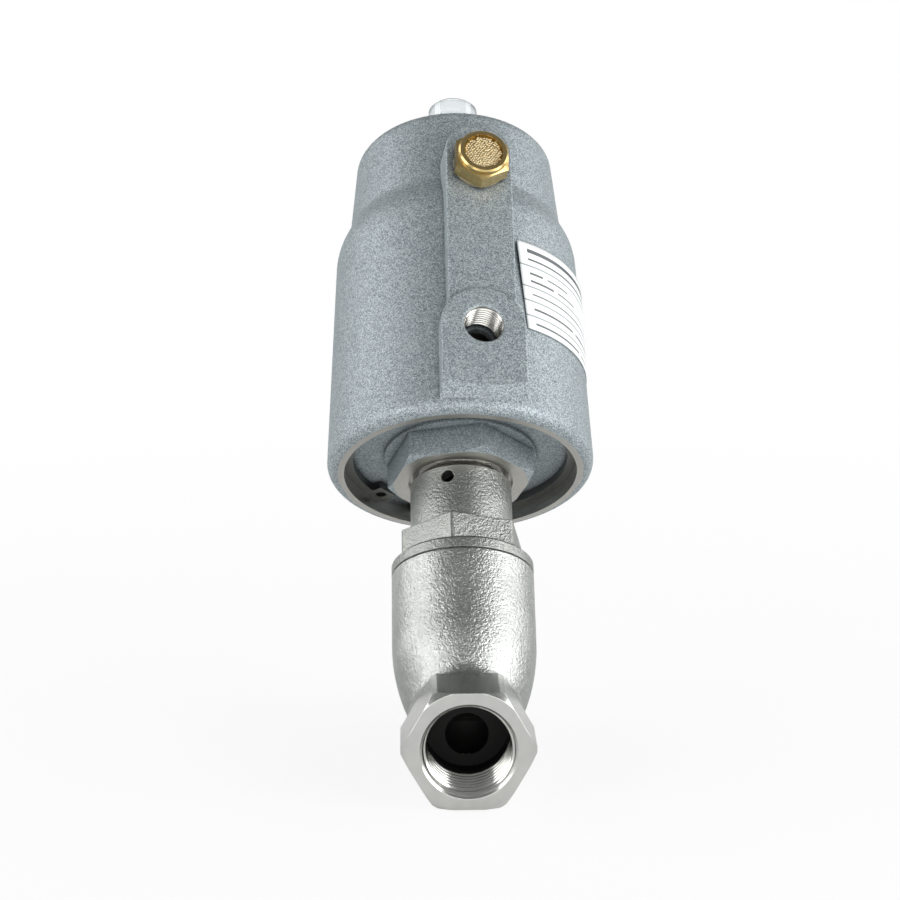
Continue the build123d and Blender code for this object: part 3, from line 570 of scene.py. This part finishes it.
def body_rule(centre, normal):
    """0 blasted, 1 turned about the pipe, 2 milled hexagon, 3 ways painted dark as shade."""
    depth = min(centre.y - body_low.y, body_high.y - centre.y)
    radius = math.hypot(centre.x, centre.z)
    if radius < thread_r + BORE_WALL and depth < HEX_LENGTH:
        return 3 if depth > THREAD_END else 1
    if depth < HEX_LENGTH - HEX_SKIN:
        return 1 if abs(normal.y) > 0.5 else 2
    height, from_stem = along(centre)
    if radius < thread_r or (from_stem < CHAMBER_R and height > 0):
        return 3
    return 0


body_mesh = dress("valve_body", body_cast, pipe_turned, hex_milled, ways_painted_dark)
print("valve body faces by finish:", sort_faces(body_mesh, body_rule))

# %% [markdown]
# The bonnet's neck is turned at its top, where the actuator screws on. The cover is lacquered on
# its hexagon and floor, while the foot of its hexagon was faced on the lathe and stays bare. The
# casing is lacquered outside; its rim, its groove and its bore are turned aluminium. The cap is
# clear but for its turned edge, which is painted dark as shade.

# %% Bonnet, cover, casing and cap
NECK_TURNED = 1.3 * MM
PACKING_R = 9.2 * MM
NECK_THREAD_R = 12.9 * MM
COVER_LAND = 3.0 * MM
COVER_TOP_SKIN = 0.1 * MM
FACED_SKIN = 0.05 * MM
CASING_WALL = 3.0 * MM
CASING_ROOF = 8 * MM
CAP_EDGE_HIGH = 1.1 * MM
CAP_EDGE_WIDE = 1.3 * MM
cover_low, cover_high, cover_r = span("cover")
casing_low, casing_high, casing_r = span("casing")


def bonnet_rule(centre, normal):
    """0 blasted, 1 turned."""
    height, radius = along(centre)
    return 1 if height > cover_low - NECK_TURNED or radius < PACKING_R else 0


def cover_rule(centre, normal):
    """0 lacquered, 1 turned."""
    height, radius = along(centre)
    if normal.dot(stem_dir) < -0.95 and height < cover_low + FACED_SKIN:
        return 1
    if radius < NECK_THREAD_R or radius > cover_r - COVER_LAND:
        return 1
    return 1 if height > cover_high - COVER_TOP_SKIN else 0


def casing_rule(centre, normal):
    """0 lacquered, 1 turned."""
    height, radius = along(centre)
    outward = (centre - on_stem(height)).normalized().dot(normal)
    if normal.dot(stem_dir) < -0.98 and height < casing_low + FACED_SKIN:
        return 1
    inside = outward < -0.2 and radius < casing_r - CASING_WALL
    return 1 if inside and height < casing_high - CASING_ROOF else 0


cap_high, cap_r = span("indicator_cap")[1:]


def cap_rule(centre, normal):
    """0 clear, 1 the turned edge, painted dark as shade."""
    height, radius = along(centre)
    return 1 if height > cap_high - CAP_EDGE_HIGH and radius > cap_r - CAP_EDGE_WIDE else 0


print("cap", sort_faces(dress("indicator_cap", acrylic, acrylic_shaded_edge), cap_rule))
print("bonnet", sort_faces(dress("bonnet", bonnet_cast_shaded, stem_turned), bonnet_rule))
print("cover", sort_faces(dress("cover", cover_paint, cover_turned), cover_rule))
print("casing", sort_faces(dress("casing", casing_paint, cover_turned), casing_rule))

# %% [markdown]
# ## Pipe threads
# The solids hold smooth bores at each thread's nominal size. The real bore shows the ridges of a
# parallel pipe thread. They could be a bump, but at the mouth the crests stand in profile against
# the dark bore, so they are real geometry: a thin sleeve whose inner wall follows the helix, with
# flat crests and roots, and which fades out where the tap entered and where it stopped.

# %% Thread sleeves
def mesh_piece(name, vertices, faces, body, material):
    """A mesh object that rides on a body and has smooth shading."""
    mesh = bpy.data.meshes.new(name)
    mesh.from_pydata([tuple(vertex) for vertex in vertices], [], faces)
    mesh.validate()
    mesh.update()
    mesh.materials.append(material)
    for polygon in mesh.polygons:
        polygon.use_smooth = True
    piece = bpy.data.objects.new(name, mesh)
    bpy.context.scene.collection.objects.link(piece)
    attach(piece, body)
    return piece


ROOT_FLAT = 0.12
FLANKS = 0.76
ROOT_PROUD = 0.01 * MM
SLEEVE_SUNK = 0.05 * MM
FADE_OUT = 0.7


def thread_wave(phase):
    """Depth share of a 55 degree thread, 1 on the crest and 0 in the root."""
    triangle = 1 - abs(2 * (phase % 1.0) - 1)
    return min(1.0, max(0.0, (triangle - ROOT_FLAT) / FLANKS))


def thread_sleeve(name, mount, pitch, depth, body, material, around=72, per_pitch=10):
    """Sleeve with a helical inner wall, set in a threaded mount of the frame."""
    facts = mounts[mount]
    out = Vector(facts["axis"]).normalized()
    mouth = Vector(facts["pos_m"])
    wall = facts["dims"]["r_mm"] * MM
    length = facts["dims"]["length_mm"] * MM
    side = out.orthogonal().normalized()
    up = out.cross(side)
    rows = int(length / pitch * per_pitch)
    vertices = []
    faces = []
    for row in range(rows + 1):
        deep = length * row / rows
        fade = min(1.0, deep / pitch, (length - deep) / (FADE_OUT * pitch))
        for step in range(around):
            angle = 2 * math.pi * step / around
            wave = thread_wave(deep / pitch - step / around)
            radius = wall - ROOT_PROUD - depth * wave * fade
            vertices.append(mouth - out * deep + (side * math.cos(angle) + up * math.sin(angle)) * radius)
    outer = len(vertices)
    for deep in (0.0, length):
        for step in range(around):
            angle = 2 * math.pi * step / around
            radius = wall + SLEEVE_SUNK
            vertices.append(mouth - out * deep + (side * math.cos(angle) + up * math.sin(angle)) * radius)
    for row in range(rows):
        for step in range(around):
            nxt = (step + 1) % around
            here = row * around
            faces.append((here + step, here + nxt, here + around + nxt, here + around + step))
    for step in range(around):
        nxt = (step + 1) % around
        last = rows * around
        faces.append((outer + step, outer + around + step, outer + around + nxt, outer + nxt))
        faces.append((step, outer + step, outer + nxt, nxt))
        faces.append((last + step, last + nxt, outer + around + nxt, outer + around + step))
    return mesh_piece(name, vertices, faces, body, material)


G12_PITCH = 1.814 * MM
G12_DEPTH = 0.95 * MM
G18_PITCH = 0.907 * MM
G18_DEPTH = 0.5 * MM
port_out = Vector(mounts["air_port"]["axis"])
port_mouth = Vector(mounts["air_port"]["pos_m"])
port_turned = turned_metal("aluminium_tapped", "#b5b4af", port_mouth, port_out, 0.2)
for side_name in ("inlet", "outlet"):
    thread_sleeve(
        side_name + "_thread",
        side_name + "_port",
        G12_PITCH,
        G12_DEPTH,
        "valve",
        pipe_turned,
    )
thread_sleeve("air_port_thread", "air_port", G18_PITCH, G18_DEPTH, "actuator", port_turned)
print("thread sleeves:", round(G12_PITCH / MM, 3), "mm and", round(G18_PITCH / MM, 3), "mm pitch")

# %% [markdown]
# ## Sintered disc of the silencer
# Air leaves through a disc of bronze grains sintered together. A bump on a flat disc loses the
# dark gaps between the grains, and they are what makes the disc read as porous. So the disc is
# built from grains: small rough balls packed in staggered rows, with some jitter, over a base.

# %% Silencer disc
GRAIN_R = 0.40 * MM
GRAIN_PITCH = 1.72 * GRAIN_R
ROW_SHARE = 0.87
JITTER = 0.14 * MM
BASE_DEPTH = 0.45 * MM
BASE_GAP = 0.02 * MM
BASE_STEPS = 40
SIZES = (0.80, 1.10)
SINKS = (0.1, 0.75)
SQUEEZES = (0.85, 1.12)
LUMPS = (0.9, 1.08)


def ball(rng, centre, radius, vertices, faces, around=8, rings=5):
    """Adds a slightly lumpy ball."""
    first = len(vertices)
    squeeze = Vector([rng.uniform(*SQUEEZES) for axis in range(3)])
    for ring in range(1, rings):
        tilt = math.pi * ring / rings
        for step in range(around):
            angle = 2 * math.pi * (step + 0.5 * (ring % 2)) / around
            lump = radius * rng.uniform(*LUMPS)
            point = Vector(
                (
                    math.sin(tilt) * math.cos(angle) * squeeze.x,
                    math.sin(tilt) * math.sin(angle) * squeeze.y,
                    math.cos(tilt) * squeeze.z,
                )
            )
            vertices.append(centre + point * lump)
    top = len(vertices)
    vertices.append(centre + Vector((0, 0, radius)))
    vertices.append(centre - Vector((0, 0, radius)))
    for ring in range(rings - 2):
        for step in range(around):
            nxt = (step + 1) % around
            a = first + ring * around
            b = a + around
            faces.append((a + step, b + step, b + nxt, a + nxt))
    last = first + (rings - 2) * around
    for step in range(around):
        nxt = (step + 1) % around
        faces.append((top, first + step, first + nxt))
        faces.append((top + 1, last + nxt, last + step))


def silencer_grains():
    """Makes the disc of grains that replaces the plain sintered disc, and counts them."""
    mesh = nodes["silencer_disc"].data
    centre = sum((vertex.co for vertex in mesh.vertices), Vector()) / len(mesh.vertices)
    places = [along(vertex.co, centre, port_out) for vertex in mesh.vertices]
    radius = max(out for reach, out in places)
    top = centre + port_out * max(reach for reach, out in places)
    bottom = centre + port_out * min(reach for reach, out in places)
    side = port_out.orthogonal().normalized()
    up = port_out.cross(side)
    rng = random.Random(7)
    vertices = []
    faces = []
    for level in (bottom, top - port_out * BASE_DEPTH):
        for step in range(BASE_STEPS):
            angle = 2 * math.pi * step / BASE_STEPS
            vertices.append(level + (side * math.cos(angle) + up * math.sin(angle)) * (radius - BASE_GAP))
    faces.append(tuple(reversed(range(BASE_STEPS))))
    faces.append(tuple(range(BASE_STEPS, 2 * BASE_STEPS)))
    for step in range(BASE_STEPS):
        nxt = (step + 1) % BASE_STEPS
        faces.append((step, nxt, BASE_STEPS + nxt, BASE_STEPS + step))
    count = 0
    reach = int(radius / GRAIN_PITCH) + 2
    for row in range(-reach, reach + 1):
        for column in range(-reach, reach + 1):
            x = (column + 0.5 * (row % 2)) * GRAIN_PITCH + rng.uniform(-JITTER, JITTER)
            y = row * GRAIN_PITCH * ROW_SHARE + rng.uniform(-JITTER, JITTER)
            if math.hypot(x, y) > radius - 0.8 * GRAIN_R:
                continue
            size = GRAIN_R * rng.uniform(*SIZES)
            sink = GRAIN_R * rng.uniform(*SINKS)
            ball(rng, top - port_out * (size + 0.5 * sink) + side * x + up * y, size, vertices, faces)
            count += 1
    piece = mesh_piece("silencer_grains", vertices, faces, "actuator", grains)
    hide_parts("silencer_disc")
    return count


print("sintered grains:", silencer_grains())

# %% [markdown]
# ## Main spring
# The spring stands between the piston, which moves, and the roof of the casing, which doesn't. So a
# copy of the coil rides with the piston, on the stem's body.

# %% Spring that rides with the stem
coil = bpy.data.objects.new("main_spring_coil", nodes["main_spring"].data.copy())
bpy.context.scene.collection.objects.link(coil)
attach(coil, "stem_assembly")
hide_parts("main_spring")
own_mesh(coil)

# %% [markdown]
# ## Label film
# A printed polyester film is stuck to the casing's side, a little askew, so it leans as it goes
# up. Its rows are divided by thin printed rules, and here the rows carry only plain bars in place
# of words. The film could be a decal on the casing, but the real film has an edge and its own
# gloss, so it is a thin curved sheet. Its UV runs from 0 to 1 across and up the film, and the
# print is a few comparisons on that UV. A bar is given as its bottom and top in shares of its
# row, and its left and right in shares of the film.

# %% Label
LABEL_GRID = (72, 24)
LABEL_THICK = 0.16 * MM
LABEL_PROUD = 0.02 * MM
LEAN_DEGREES = 4.0
SHIFT_DEGREES = 0.6


def label_turns():
    """First and last turn of the label about the stem, in degrees."""
    turns = []
    for vertex in nodes["label"].data.vertices:
        out = vertex.co - on_stem(along(vertex.co)[0])
        turns.append(math.degrees(math.atan2(out.dot(side_dir), out.dot(front_dir))))
    return min(turns), max(turns)


def step_mask(tree, value, low, high):
    """1 where a value lies between two limits."""
    above = add_node(tree, "Math", {0: value, 1: low}, operation="GREATER_THAN")
    below = add_node(tree, "Math", {0: value, 1: high}, operation="LESS_THAN")
    within = add_node(tree, "Math", {0: above.outputs[0], 1: below.outputs[0]}, operation="MULTIPLY")
    return within.outputs[0]


def any_of(tree, masks):
    """1 where any mask is 1."""
    total = masks[0]
    for mask in masks[1:]:
        total = add_node(tree, "Math", {0: total, 1: mask}, operation="MAXIMUM").outputs[0]
    return total


ROWS = (0.0, 0.16, 0.33, 0.49, 0.73, 1.0)
RULE = 0.008
DIVIDER = 0.44
DIVIDER_HALF = 0.3 * RULE
FILM_GRAIN_MM = 0.5
BARS = {
    4: ((0.56, 0.72, 0.05, 0.62), (0.24, 0.32, 0.05, 0.66)),
    3: (
        (0.60, 0.70, 0.05, 0.13),
        (0.62, 0.69, 0.16, 0.32),
        (0.24, 0.34, 0.05, 0.20),
        (0.26, 0.33, 0.23, 0.38),
    ),
    2: ((0.44, 0.54, 0.05, 0.66),),
    1: ((0.42, 0.56, 0.05, 0.34), (0.42, 0.56, 0.37, 0.66)),
    0: ((0.42, 0.56, 0.05, 0.40), (0.44, 0.54, 0.43, 0.72)),
}


def printed_film(name):
    """White polyester film with printed rules and plain bars."""
    material, tree, output = new_material(name)
    uv = add_node(tree, "SeparateXYZ", {"Vector": add_node(tree, "TexCoord").outputs["UV"]})
    across_film, up_film = uv.outputs["X"], uv.outputs["Y"]
    rules = [step_mask(tree, up_film, row - RULE, row + RULE) for row in ROWS]
    low_half, high_half = ROWS[3], ROWS[4]
    divider = step_mask(tree, across_film, DIVIDER - DIVIDER_HALF, DIVIDER + DIVIDER_HALF)
    in_row = step_mask(tree, up_film, low_half, high_half)
    short_rule = add_node(tree, "Math", {0: divider, 1: in_row}, operation="MULTIPLY")
    rules.append(short_rule.outputs[0])
    bars = []
    for row, places in BARS.items():
        low, high = ROWS[row], ROWS[row + 1]
        for bottom, top, left, right in places:
            tall = step_mask(tree, up_film, low + (high - low) * bottom, low + (high - low) * top)
            wide = step_mask(tree, across_film, left, right)
            bar = add_node(tree, "Math", {0: tall, 1: wide}, operation="MULTIPLY")
            bars.append(bar.outputs[0])
    place = add_node(tree, "TexCoord").outputs["Object"]
    grain = add_node(tree, "TexNoise", {"Vector": place, "Scale": per_metre(FILM_GRAIN_MM), "Detail": 2.0})
    film = add_node(
        tree, "Mix", {0: grain.outputs["Fac"], 6: srgb("#dfe2e2"), 7: srgb("#eef0f0")}, data_type="RGBA"
    )
    ruled = add_node(
        tree, "Mix", {0: any_of(tree, rules), 6: film.outputs[2], 7: srgb("#8f9698")}, data_type="RGBA"
    )
    printed = add_node(
        tree, "Mix", {0: any_of(tree, bars), 6: ruled.outputs[2], 7: srgb("#4a4f52")}, data_type="RGBA"
    )
    skin = add_node(tree, "BsdfPrincipled", {"Base Color": printed.outputs[2], "Roughness": 0.38})
    finish(tree, output, skin.outputs[0])
    return material


def label_film():
    """Makes the curved film that replaces the plain label, and gives the degrees that it wraps."""
    low, high = span("label")[:2]
    start, stop = label_turns()
    places = [along(vertex.co) for vertex in nodes["label"].data.vertices]
    foot = low + 0.01 * MM
    foot_r = max(out for height, out in places if height < foot)
    head_r = max(out for height, out in places if height >= foot)
    columns, rows = LABEL_GRID
    vertices = []
    uvs = []
    for skin in (0.0, LABEL_THICK):
        for row in range(rows + 1):
            up = row / rows
            out = foot_r + (head_r - foot_r) * up - LABEL_THICK + LABEL_PROUD + skin
            for column in range(columns + 1):
                turn = start + (stop - start) * column / columns + SHIFT_DEGREES - LEAN_DEGREES * up
                vertices.append(on_stem(low + (high - low) * up, out, turn))
                uvs.append((column / columns, up))
    faces = []
    wide = columns + 1
    front = (rows + 1) * wide
    for row in range(rows):
        for column in range(columns):
            a = row * wide + column
            faces.append((front + a, front + a + 1, front + a + wide + 1, front + a + wide))
            faces.append((a, a + wide, a + wide + 1, a + 1))
    border = [row * wide for row in range(rows + 1)]
    border += [rows * wide + column for column in range(1, columns + 1)]
    border += [row * wide + columns for row in range(rows - 1, -1, -1)]
    border += [column for column in range(columns - 1, 0, -1)]
    for index, a in enumerate(border):
        b = border[(index + 1) % len(border)]
        faces.append((a, front + a, front + b, b))
    polyester = printed_film("polyester_film_printed")
    piece = mesh_piece("label_film", vertices, faces, "actuator", polyester)
    layer = piece.data.uv_layers.new(name="film")
    for loop in piece.data.loops:
        layer.data[loop.index].uv = uvs[loop.vertex_index]
    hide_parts("label")
    return stop - start


print("label wraps", round(label_film(), 1), "degrees")

# %% [markdown]
# ## Studio
# The valve is shown as a catalogue shows it: on white, lit by large soft boxes. The floor looks
# white to the camera and keeps a faint shadow. Polished steel shows its surroundings, and a white
# room would leave it flat, so light and reflections get a room that is pale at the level of the
# part and dimmer overhead. Only what is seen directly, or through the clear cap, is plain white.

# %% Floor and world
FLOOR_HALF = 3.0
FLOOR_GAP = 0.2 * MM
SHADOW_WHITE = 0.86
FADE_FROM = 0.05
FADE_TO = 0.45
ROOM_LOW = 0.64
ROOM_HIGH = 0.28
HIGH_FROM = 0.75
CLEAR_BELOW = 0.45


def studio_floor():
    """Large pale floor under the part."""
    mesh = bpy.data.meshes.new("studio_floor")
    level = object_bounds()[0].z - FLOOR_GAP
    signs = ((-1, -1), (1, -1), (1, 1), (-1, 1))
    mesh.from_pydata([(FLOOR_HALF * x, FLOOR_HALF * y, level) for x, y in signs], [], [(0, 1, 2, 3)])
    floor = bpy.data.objects.new("studio_floor", mesh)
    bpy.context.scene.collection.objects.link(floor)
    material, tree, output = new_material("paper_white_matt")
    path = add_node(tree, "LightPath")
    seen = add_node(tree, "Emission", {"Color": srgb("#ffffff"), "Strength": 1.0})
    paper = add_node(tree, "BsdfDiffuse", {"Color": srgb("#f2f2f2")})
    place = add_node(tree, "TexCoord").outputs["Object"]
    away = add_node(tree, "VectorMath", {0: place}, operation="LENGTH")
    fade = add_node(
        tree,
        "MapRange",
        {
            "Value": away.outputs["Value"],
            "From Min": FADE_FROM,
            "From Max": FADE_TO,
            "To Min": SHADOW_WHITE,
        },
    )
    seen_by = add_node(
        tree,
        "Math",
        {0: path.outputs["Is Camera Ray"], 1: path.outputs["Is Transmission Ray"]},
        operation="MAXIMUM",
    )
    share = add_node(tree, "Math", {0: seen_by.outputs[0], 1: fade.outputs[0]}, operation="MULTIPLY")
    mix = add_node(tree, "MixShader", {0: share.outputs[0], 1: paper.outputs[0], 2: seen.outputs[0]})
    finish(tree, output, mix.outputs[0])
    mesh.materials.append(material)
    floor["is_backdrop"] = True
    return level


def studio_world():
    """White for the camera; for light and reflections pale at the part's level, dimmer overhead."""
    world = bpy.data.worlds.new("studio")
    world.use_nodes = True
    tree = world.node_tree
    tree.nodes.clear()
    output = add_node(tree, "OutputWorld")
    path = add_node(tree, "LightPath")
    way = add_node(tree, "SeparateXYZ", {"Vector": add_node(tree, "TexCoord").outputs["Generated"]})
    level = add_node(
        tree,
        "MapRange",
        {"Value": way.outputs["Z"], "From Max": HIGH_FROM, "To Min": ROOM_LOW, "To Max": ROOM_HIGH},
    )
    room = add_node(tree, "Background", {"Color": srgb("#f7f9fa"), "Strength": level.outputs[0]})
    white = add_node(tree, "Background", {"Color": srgb("#ffffff"), "Strength": 1.0})
    low_down = add_node(tree, "Math", {0: way.outputs["Z"], 1: CLEAR_BELOW}, operation="LESS_THAN")
    through = add_node(
        tree,
        "Math",
        {0: path.outputs["Is Transmission Ray"], 1: low_down.outputs[0]},
        operation="MULTIPLY",
    )
    seen = add_node(
        tree, "Math", {0: path.outputs["Is Camera Ray"], 1: through.outputs[0]}, operation="MAXIMUM"
    )
    mix = add_node(tree, "MixShader", {0: seen.outputs[0], 1: room.outputs[0], 2: white.outputs[0]})
    tree.links.new(mix.outputs[0], output.inputs["Surface"])
    bpy.context.scene.world = world


floor_level = studio_floor()
studio_world()
print("floor at", round(floor_level / MM, 2), "mm")

# %% [markdown]
# Five boxes light the part, each aimed at its middle. Two stand at its sides and a little in
# front, for the two bright bands down the round barrel with a darker gap between them. Two stand
# high at the back and draw the rims. The last lies low in front and opens the shadows under the
# barrel and in the bore. A box is given as its place from the middle and its size in metres, and
# its power in watts.

# %% Soft boxes
def soft_box(name, place, size, watts, target):
    """Rectangular soft light, placed in metres and aimed at a point."""
    light = bpy.data.lights.new(name, "AREA")
    light.shape = "RECTANGLE"
    light.size, light.size_y = size
    light.energy = watts
    lamp = bpy.data.objects.new(name, light)
    lamp.location = place
    lamp.rotation_euler = (Vector(target) - Vector(place)).to_track_quat("-Z", "Y").to_euler()
    bpy.context.scene.collection.objects.link(lamp)


BOXES = {
    "key_right": ((0.70, -0.42, 0.16), (0.55, 0.75), 6.4),
    "fill_left": ((-0.70, -0.46, 0.14), (0.42, 0.75), 3.9),
    "rim_left": ((-0.85, 0.25, 0.42), (0.50, 0.75), 3.1),
    "rim_right": ((0.88, 0.25, 0.42), (0.50, 0.75), 3.1),
    "front_low": ((0.05, -1.1, -0.05), (1.0, 0.5), 5.0),
}
middle = (cad_box[0] + cad_box[1]) / 2
for box_name, (offset, size, watts) in BOXES.items():
    soft_box(box_name, middle + Vector(offset), size, watts, middle)
print("soft boxes:", len(BOXES))

# %% [markdown]
# ## Camera
# The view is from the inlet end, a little above the pipe, with a long lens. The camera's place is
# in the part's frame, so a different part size would only need a step back.

# %% Camera
LENS_MM = 87.9
CAMERA_MM = (-12.8, -462.35, 162.85)
TILT, ROLL, YAW = -11.586, 0.302, -1.109

camera_data = bpy.data.cameras.new("view")
camera_data.lens = LENS_MM
camera_data.sensor_width = 36.0
camera_data.clip_start = 0.01
camera = bpy.data.objects.new("view", camera_data)
turned = (
    Matrix.Rotation(math.radians(YAW), 4, "Z")
    @ Matrix.Rotation(math.radians(TILT), 4, "X")
    @ Matrix.Rotation(math.radians(ROLL), 4, "Y")
    @ Matrix.Rotation(math.radians(90), 4, "X")
)
camera.matrix_world = Matrix.Translation(Vector(CAMERA_MM) * MM) @ turned
bpy.context.scene.collection.objects.link(camera)
bpy.context.scene.camera = camera
bpy.context.scene.view_settings.view_transform = "Standard"
print("camera", round((camera.location - middle).length, 3), "m from the middle")
